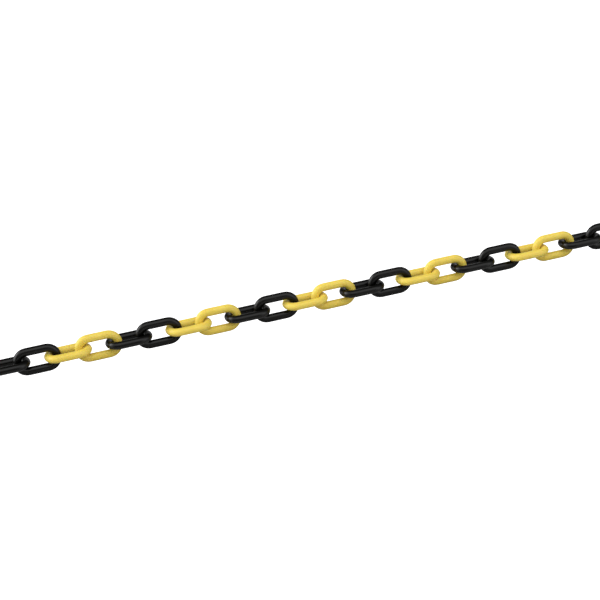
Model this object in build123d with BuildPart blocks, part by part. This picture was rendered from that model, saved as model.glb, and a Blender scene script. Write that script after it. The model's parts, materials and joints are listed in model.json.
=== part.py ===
from build123d import *
import os

# Plastic barrier chain: closed links of slightly oval moulded wire, each threaded through its
# neighbours and turned a quarter turn from them. X runs along the chain and Z is up. Odd links
# lie flat, in a horizontal plane, and even links stand upright. The chain is drawn taut and
# straight, with every pair of hooked crowns a hair apart.

# ---- driving dimensions, mm ----
wire_width = 6.0              # across the wire, in the link's plane
wire_thickness = 5.7          # square to the link's plane
window_length = 22.0          # inside length of a link, between its crowns
window_width = 8.6            # inside width of a link, between its rails
window_corner_radius = 3.9    # leaves a short flat at the middle of each crown
crown_gap = 0.2               # clearance between two hooked crowns
link_count = 24
links_per_colour = 2          # a flat link and the upright link after it share a colour
colours = ["black", "yellow"]

# ---- derived sizes ----
centreline_length = window_length + wire_width
centreline_width = window_width + wire_width
centreline_corner_radius = window_corner_radius + wire_width / 2
link_width = window_width + 2 * wire_width
pitch = window_length - crown_gap
axis_height = link_width / 2  # the upright links stand on z = 0


def link_plane(number):
    """The plane of link number 1 to link_count: horizontal if odd, upright along the chain if even."""
    centre = ((number - (link_count + 1) / 2) * pitch, 0, axis_height)
    facing = (0, 0, 1) if number % 2 else (0, -1, 0)
    return Plane(origin=centre, x_dir=(1, 0, 0), z_dir=facing)


def link_name(number):
    colour = colours[(number - 1) // links_per_colour % len(colours)]
    turn = "flat" if number % 2 else "upright"
    return f"link_{number:02d}_{colour}_{turn}"


os.makedirs("parts", exist_ok=True)

half_length = centreline_length / 2
half_width = centreline_width / 2
corners = [
    (-half_length, -half_width),
    (half_length, -half_width),
    (half_length, half_width),
    (-half_length, half_width),
]

for number in range(1, link_count + 1):
    with BuildPart() as link:
        with BuildLine(link_plane(number)) as centreline:
            FilletPolyline(*corners, radius=centreline_corner_radius, close=True)
        start = centreline.line @ 0
        along = centreline.line % 0
        with BuildSketch(Plane(origin=start, x_dir=link_plane(number).z_dir, z_dir=along)):
            Ellipse(wire_thickness / 2, wire_width / 2)
        sweep()
    link.part.label = link_name(number)
    export_step(link.part, f"parts/{link.part.label}.step")
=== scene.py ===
import json
import math

import bmesh
import bpy
from mathutils import Matrix, Vector


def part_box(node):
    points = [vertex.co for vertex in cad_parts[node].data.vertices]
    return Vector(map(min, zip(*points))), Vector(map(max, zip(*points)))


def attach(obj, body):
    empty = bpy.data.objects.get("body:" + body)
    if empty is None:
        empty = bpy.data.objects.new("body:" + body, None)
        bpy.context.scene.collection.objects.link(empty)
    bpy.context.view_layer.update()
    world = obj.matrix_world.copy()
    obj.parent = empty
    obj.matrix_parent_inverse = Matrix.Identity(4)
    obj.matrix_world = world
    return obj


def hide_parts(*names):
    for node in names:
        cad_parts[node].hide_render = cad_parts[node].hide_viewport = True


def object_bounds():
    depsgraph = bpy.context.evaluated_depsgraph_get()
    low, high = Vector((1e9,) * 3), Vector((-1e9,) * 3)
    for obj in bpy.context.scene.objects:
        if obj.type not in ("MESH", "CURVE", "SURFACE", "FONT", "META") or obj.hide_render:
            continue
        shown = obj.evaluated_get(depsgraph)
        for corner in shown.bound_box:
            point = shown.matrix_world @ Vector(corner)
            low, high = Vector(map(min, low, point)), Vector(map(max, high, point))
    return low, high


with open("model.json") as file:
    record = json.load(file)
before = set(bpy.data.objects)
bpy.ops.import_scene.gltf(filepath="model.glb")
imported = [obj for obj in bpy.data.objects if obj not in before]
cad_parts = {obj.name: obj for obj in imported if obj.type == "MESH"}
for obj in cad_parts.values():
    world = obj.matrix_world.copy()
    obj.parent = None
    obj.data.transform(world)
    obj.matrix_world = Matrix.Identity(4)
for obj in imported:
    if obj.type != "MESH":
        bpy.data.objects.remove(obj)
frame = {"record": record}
cad_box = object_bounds()

# A length of plastic barrier chain, drawn taut. Every CAD link is replaced by a link as it comes out
# of a two-part mould: slightly oval wire with a parting line along it, a gate pip on one rail and an
# ejector dimple on the other. Lengths are in metres.
MM = 0.001
TOUCHING = 0.001 * MM           # points nearer than this are one point
WIRE_WIDTH = 6.0 * MM           # across the wire in the link's plane; it is thinner the other way
CORNER_RADIUS = 6.9 * MM        # centreline radius where a rail turns into a crown
SECTION_SIDES = 32
CORNER_STEPS = 10
CROWN_STEPS = 2
RAIL_STEPS = 5                  # on each side of the gate
PARTING_LINE_WIDTH = 0.30 * MM
PARTING_LINE_HEIGHT = 0.09 * MM
GATE_SIZE = 1.2 * MM
GATE_HEIGHT = 0.28 * MM
DIMPLE_DEPTH = 0.12 * MM
PATCH_RIM = 0.12 * MM           # how far the gate's and the dimple's edges stand in from their patch
RUB_REACH = 4.5 * MM            # how far from the middle of a crown its neighbour polishes it


# ---------------------------------------------------------------- link shape

def edges_among(geometry, verts):
    wanted = set(verts)
    edges = [g for g in geometry if isinstance(g, bmesh.types.BMEdge)]
    return [e for e in edges if e.verts[0] in wanted and e.verts[1] in wanted]


def only_verts(geometry):
    return [g for g in geometry if isinstance(g, bmesh.types.BMVert)]


def draw_out(bm, ring, run, steps):
    """Extrudes the open ring of edges along run, in equal steps, and returns the new open ring."""
    for _ in range(steps):
        made = bmesh.ops.extrude_edge_only(bm, edges=ring)["geom"]
        verts = only_verts(made)
        bmesh.ops.translate(bm, verts=verts, vec=run / steps)
        ring = edges_among(made, verts)
    return ring


def turn_corner(bm, ring, centre):
    """Spins the open ring a quarter turn about an upright axis, and returns the new open ring."""
    verts = list({v for e in ring for v in e.verts})
    made = bmesh.ops.spin(
        bm, geom=verts + ring, cent=centre, axis=(0, 0, 1), dvec=(0, 0, 0),
        angle=math.pi / 2, steps=CORNER_STEPS, use_merge=False, use_duplicate=False,
    )["geom_last"]
    return edges_among(made, only_verts(made))


def wire_loop(length, width, thickness):
    """A closed loop of oval wire lying in XY about the origin, its rails along X.
    Length and width are those of the wire's centreline, and thickness is the wire's along Z."""
    half_rail = length / 2 - CORNER_RADIUS
    half_crown = width / 2 - CORNER_RADIUS
    rail_side = half_rail - GATE_SIZE / 2
    bm = bmesh.new()
    start = Matrix.Translation((-half_rail, -width / 2, 0))
    across = Matrix.Rotation(math.pi / 2, 4, "Y")
    circle = bmesh.ops.create_circle(
        bm, segments=SECTION_SIDES, radius=WIRE_WIDTH / 2, cap_ends=False, matrix=start @ across
    )["verts"]
    bmesh.ops.scale(bm, verts=circle, vec=(1, 1, thickness / WIRE_WIDTH))
    ring = list({e for v in circle for e in v.link_edges})
    for side in (1, -1):
        along = Vector((side, 0, 0))
        upward = Vector((0, side, 0))
        ring = draw_out(bm, ring, along * rail_side, RAIL_STEPS)
        ring = draw_out(bm, ring, along * GATE_SIZE, 2)
        ring = draw_out(bm, ring, along * rail_side, RAIL_STEPS)
        ring = turn_corner(bm, ring, (side * half_rail, -side * half_crown, 0))
        ring = draw_out(bm, ring, upward * 2 * half_crown, CROWN_STEPS)
        ring = turn_corner(bm, ring, (side * half_rail, side * half_crown, 0))
    bmesh.ops.remove_doubles(bm, verts=bm.verts, dist=TOUCHING)
    bmesh.ops.recalc_face_normals(bm, faces=bm.faces)
    return bm


def add_parting_line(bm):
    """A fine bead along the outer and inner equators, where the two halves of the mould met."""
    equator = [e for e in bm.edges if all(abs(v.co.z) < TOUCHING for v in e.verts)]
    bmesh.ops.bevel(
        bm, geom=equator, offset=PARTING_LINE_WIDTH / 2, offset_type="OFFSET", affect="EDGES",
        segments=2, profile=0.5, material=-1, clamp_overlap=True, loop_slide=True,
    )
    bm.normal_update()
    for vert in bm.verts:
        if abs(vert.co.z) < TOUCHING:
            vert.co += vert.normal * PARTING_LINE_HEIGHT


def press_patch(bm, point, height):
    """Steps the four faces round the vertex nearest to point out by height, or in if negative."""
    middle = min(bm.verts, key=lambda v: (v.co - point).length)
    patch = list(middle.link_faces)
    bmesh.ops.inset_region(bm, faces=patch, thickness=PATCH_RIM, use_even_offset=True)
    bmesh.ops.inset_region(
        bm, faces=patch, thickness=PATCH_RIM / 2, depth=height, use_even_offset=True
    )


def mark_rubbed_crowns(bm, length):
    """Writes how much the hooked neighbour polishes each point: 1 inside a crown, 0 beyond reach."""
    rub = bm.verts.layers.float.new("rub")
    inside = length / 2 - WIRE_WIDTH / 2
    for vert in bm.verts:
        from_middle = Vector((abs(vert.co.x) - inside, vert.co.y, vert.co.z)).length
        vert[rub] = max(0.0, 1.0 - from_middle / RUB_REACH)


def moulded_link(node, number):
    """The moulded link that stands in for a CAD link, in that link's place."""
    low, high = (Vector(corner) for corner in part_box(node))
    size = high - low
    upright = size.z > size.y
    thickness = min(size.y, size.z)
    length, width = size.x - WIRE_WIDTH, max(size.y, size.z) - WIRE_WIDTH
    bm = wire_loop(length, width, thickness)
    press_patch(bm, Vector((0, -width / 2, thickness / 2)), GATE_HEIGHT)
    press_patch(bm, Vector((0, width / 2, thickness / 2)), -DIMPLE_DEPTH)
    add_parting_line(bm)
    mark_rubbed_crowns(bm, length)
    lean = Matrix.Rotation(math.pi / 2, 4, "X") if upright else Matrix()
    end_for_end = Matrix.Rotation(math.pi * (number // 2 % 2), 4, "Z")
    place = Matrix.Translation((low + high) / 2)
    bmesh.ops.transform(bm, matrix=place @ lean @ end_for_end, verts=bm.verts)
    bm.normal_update()
    mesh = bpy.data.meshes.new(f"moulded_{node}")
    bm.to_mesh(mesh)
    bm.free()
    mesh.shade_smooth()
    link = bpy.data.objects.new(mesh.name, mesh)
    bpy.context.scene.collection.objects.link(link)
    smoothing = link.modifiers.new("smoothing", "SUBSURF")
    smoothing.levels = smoothing.render_levels = 1
    return link


# ---------------------------------------------------------------- plastics

STREAKS_PER_METRE = 90.0
GLOSS_PATCHES_PER_METRE = 420.0
WAVES_PER_METRE = 160.0
TEETH_PER_METRE = 2600.0
GLOSS_SPREAD = 0.05             # how far the roughness strays either way
RUB_POLISH = 0.10               # how much smoother a crown is where its neighbour rubs
WAVE_HEIGHT = 0.06 * MM
TOOTH_HEIGHT = 0.002 * MM
GLOW_DEPTH = 1.5 * MM           # how far light travels in the plastic


def node_with(tree, kind, settings=None, **inputs):
    """A shader node with its settings and input values set. Sockets given as inputs are linked."""
    node = tree.nodes.new(kind)
    for name, value in (settings or {}).items():
        setattr(node, name, value)
    for name, value in inputs.items():
        socket = node.inputs[name.replace("_", " ")]
        if isinstance(value, bpy.types.NodeSocket):
            tree.links.new(value, socket)
        else:
            socket.default_value = value
    return node


def grain(tree, place, per_metre, detail=2.0, roughness=0.5):
    noise = node_with(
        tree, "ShaderNodeTexNoise", Vector=place, Scale=per_metre, Detail=detail,
        Roughness=roughness,
    )
    return noise.outputs["Fac"]


def mapped(tree, value, low, high, from_low=0.0, from_high=1.0):
    node = tree.nodes.new("ShaderNodeMapRange")
    tree.links.new(value, node.inputs["Value"])
    node.inputs["From Min"].default_value = from_low
    node.inputs["From Max"].default_value = from_high
    node.inputs["To Min"].default_value = low
    node.inputs["To Max"].default_value = high
    return node.outputs["Result"]


def maths(tree, operation, first, second):
    node = tree.nodes.new("ShaderNodeMath")
    node.operation = operation
    for socket, value in zip(node.inputs, (first, second)):
        if isinstance(value, bpy.types.NodeSocket):
            tree.links.new(value, socket)
        else:
            socket.default_value = value
    return node.outputs["Value"]


def moulded_plastic(name, colour, streak_colour, gloss, specular, through=0.0, glow=(1, 1, 1)):
    """Semi-gloss moulded plastic: faint flow streaks in the colour, a slightly uneven gloss,
    fine tool grain, and crowns polished where the neighbouring links rub."""
    material = bpy.data.materials.new(name)
    material.use_nodes = True
    tree = material.node_tree
    tree.nodes.clear()
    place = tree.nodes.new("ShaderNodeTexCoord").outputs["Object"]
    rub = node_with(tree, "ShaderNodeAttribute", {"attribute_name": "rub"}).outputs["Fac"]

    streaks = mapped(tree, grain(tree, place, STREAKS_PER_METRE, 3.0), 0.0, 1.0, 0.35, 0.75)
    tint = tree.nodes.new("ShaderNodeMix")
    tint.data_type = "RGBA"
    tree.links.new(streaks, tint.inputs["Factor"])
    tint.inputs[6].default_value = (*colour, 1)
    tint.inputs[7].default_value = (*streak_colour, 1)

    patches = grain(tree, place, GLOSS_PATCHES_PER_METRE, 4.0)
    uneven = mapped(tree, patches, gloss - GLOSS_SPREAD, gloss + GLOSS_SPREAD)
    polished = maths(tree, "MULTIPLY", rub, RUB_POLISH)
    roughness = maths(tree, "SUBTRACT", uneven, polished)

    wave = maths(tree, "MULTIPLY", grain(tree, place, WAVES_PER_METRE, 1.0), WAVE_HEIGHT)
    tooth = maths(tree, "MULTIPLY", grain(tree, place, TEETH_PER_METRE, 2.0), TOOTH_HEIGHT)
    relief = node_with(
        tree, "ShaderNodeBump", Height=maths(tree, "ADD", wave, tooth), Strength=1.0, Distance=1.0
    )

    surface = node_with(
        tree, "ShaderNodeBsdfPrincipled", Base_Color=tint.outputs[2], Roughness=roughness,
        Normal=relief.outputs["Normal"], Specular_IOR_Level=specular, Subsurface_Weight=through,
        Subsurface_Radius=glow, Subsurface_Scale=GLOW_DEPTH,
    )
    output = tree.nodes.new("ShaderNodeOutputMaterial")
    tree.links.new(surface.outputs["BSDF"], output.inputs["Surface"])
    return material


plastics = {
    "black_plastic": moulded_plastic(
        "black_polyethylene", (0.0012, 0.0011, 0.0008), (0.0022, 0.0020, 0.0015), 0.25, 0.28
    ),
    "yellow_plastic": moulded_plastic(
        "yellow_polyethylene", (0.77, 0.585, 0.086), (0.81, 0.625, 0.102), 0.40, 0.42,
        through=0.25, glow=(1.0, 0.6, 0.15),
    ),
}


# ---------------------------------------------------------------- the chain

slots = {part["node"]: part["material_slot"] for part in frame["record"]["subparts"]}
bodies = frame["record"]["behaviour"]["bodies"]
for number, (body, nodes) in enumerate(bodies.items(), start=1):
    for node in nodes:
        link = moulded_link(node, number)
        link.data.materials.append(plastics[slots[node]])
        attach(link, body)
        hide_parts(node)


# ---------------------------------------------------------------- studio

chain_low, chain_high = (Vector(corner) for corner in cad_box)
chain_middle = (chain_low + chain_high) / 2
first_box, second_box = (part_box(node) for node in list(slots)[:2])
pitch = (Vector(second_box[0]) - Vector(first_box[0])).x

FLOOR_DROP = 1.2                # the chain hangs at about the height that posts hold it
STUDIO_RADIUS = 6.0
STUDIO_GLOW = 1.5               # over 1, so that it comes out plain white
TABLE_RADIUS = 1.5
TABLE_DROP = 0.5 * MM           # how far it lies below the chain
TABLE_PALENESS = 0.55
DISC_SIDES = 64


def direction(azimuth, elevation):
    """The unit vector from the chain towards azimuth, 0 in front and 90 to the right, and elevation."""
    a, e = math.radians(azimuth), math.radians(elevation)
    return Vector((math.sin(a) * math.cos(e), -math.cos(a) * math.cos(e), math.sin(e)))


def white_studio():
    """A pale floor with a white dome over it. Only the camera sees them, and the world gives the light."""
    white = bpy.data.materials.new("studio_white")
    white.use_nodes = True
    tree = white.node_tree
    tree.nodes.clear()
    glow = node_with(tree, "ShaderNodeEmission", Color=(1, 1, 1, 1), Strength=STUDIO_GLOW)
    output = tree.nodes.new("ShaderNodeOutputMaterial")
    tree.links.new(glow.outputs["Emission"], output.inputs["Surface"])
    centre = Matrix.Translation((chain_middle.x, chain_middle.y, chain_low.z - FLOOR_DROP))
    for name in ("floor", "backdrop"):
        bm = bmesh.new()
        if name == "floor":
            bmesh.ops.create_circle(
                bm, cap_ends=True, segments=DISC_SIDES, radius=STUDIO_RADIUS, matrix=centre
            )
        else:
            bmesh.ops.create_icosphere(bm, subdivisions=4, radius=STUDIO_RADIUS, matrix=centre)
        mesh = bpy.data.meshes.new(name)
        bm.to_mesh(mesh)
        bm.free()
        mesh.materials.append(white)
        piece = bpy.data.objects.new(name, mesh)
        bpy.context.scene.collection.objects.link(piece)
        for ray in ("diffuse", "glossy", "transmission", "volume_scatter", "shadow"):
            setattr(piece, f"visible_{ray}", False)


def table():
    """A matt pale table under the chain, left out of the picture. Only its top side bounces light, so
    it is clear to light from below."""
    matt = bpy.data.materials.new("table_white")
    matt.use_nodes = True
    tree = matt.node_tree
    tree.nodes.clear()
    paint = node_with(tree, "ShaderNodeBsdfDiffuse", Color=(*[TABLE_PALENESS] * 3, 1))
    clear = node_with(tree, "ShaderNodeBsdfTransparent")
    side = tree.nodes.new("ShaderNodeNewGeometry").outputs["Backfacing"]
    mix = tree.nodes.new("ShaderNodeMixShader")
    tree.links.new(side, mix.inputs[0])
    tree.links.new(paint.outputs["BSDF"], mix.inputs[1])
    tree.links.new(clear.outputs["BSDF"], mix.inputs[2])
    output = tree.nodes.new("ShaderNodeOutputMaterial")
    tree.links.new(mix.outputs["Shader"], output.inputs["Surface"])
    bm = bmesh.new()
    centre = Matrix.Translation((chain_middle.x, chain_middle.y, chain_low.z - TABLE_DROP))
    bmesh.ops.create_circle(
        bm, cap_ends=True, segments=DISC_SIDES, radius=TABLE_RADIUS, matrix=centre
    )
    mesh = bpy.data.meshes.new("table")
    bm.to_mesh(mesh)
    bm.free()
    mesh.materials.append(matt)
    piece = bpy.data.objects.new("table", mesh)
    bpy.context.scene.collection.objects.link(piece)
    piece.visible_camera = False


def room_light(diffusers):
    """Light from large soft diffusers, each given as azimuth, elevation, radiance and sharpness.
    A diffuser's light falls off with the angle from its middle, faster where it is sharper."""
    world = bpy.data.worlds.new("room_light")
    bpy.context.scene.world = world
    world.use_nodes = True
    tree = world.node_tree
    tree.nodes.clear()
    towards = tree.nodes.new("ShaderNodeTexCoord").outputs["Generated"]
    total = 0.0
    for azimuth, elevation, radiance, sharpness in diffusers:
        facing = node_with(tree, "ShaderNodeVectorMath", {"operation": "DOT_PRODUCT"})
        tree.links.new(towards, facing.inputs[0])
        facing.inputs[1].default_value = direction(azimuth, elevation)
        in_front = maths(tree, "MAXIMUM", facing.outputs["Value"], 0.0)
        glow = maths(tree, "POWER", in_front, sharpness)
        total = maths(tree, "ADD", total, maths(tree, "MULTIPLY", glow, radiance))
    background = node_with(tree, "ShaderNodeBackground", Color=(1, 1, 1, 1), Strength=total)
    output = tree.nodes.new("ShaderNodeOutputWorld")
    tree.links.new(background.outputs["Background"], output.inputs["Surface"])


def long_lens(azimuth, elevation, roll, distance, lens, aim):
    """The camera: it stands towards azimuth and elevation from aim, and leans by roll."""
    camera = bpy.data.cameras.new("camera")
    camera.lens = lens
    camera.sensor_width = 36.0
    camera.clip_start, camera.clip_end = 0.05, 3 * STUDIO_RADIUS
    piece = bpy.data.objects.new("camera", camera)
    bpy.context.scene.collection.objects.link(piece)
    back = direction(azimuth, elevation)
    level = (-back).to_track_quat("-Z", "Y").to_matrix()
    lean = Matrix.Rotation(math.radians(roll), 3, "Z")
    piece.matrix_world = Matrix.Translation(aim + back * distance) @ (level @ lean).to_4x4()
    bpy.context.scene.camera = piece


white_studio()
table()
room_light([
    (-100, 15, 4.2, 8.0),       # key, from the chain's left end
    (-103, 40, 6.0, 30.0),      # the brighter middle of the key
    (-30, 55, 1.7, 8.0),        # high fill
    (30, 55, 1.2, 8.0),
    (50, 15, 1.9, 8.0),         # low fill from the right
    (150, 15, 0.6, 8.0),
])
long_lens(
    azimuth=-11.891, elevation=21.669, roll=-7.931, distance=0.9898, lens=81.49,
    aim=chain_middle + Vector((-1.669 * pitch, 0, 1.41 * MM)),
)
bpy.context.scene.view_settings.view_transform = "Standard"
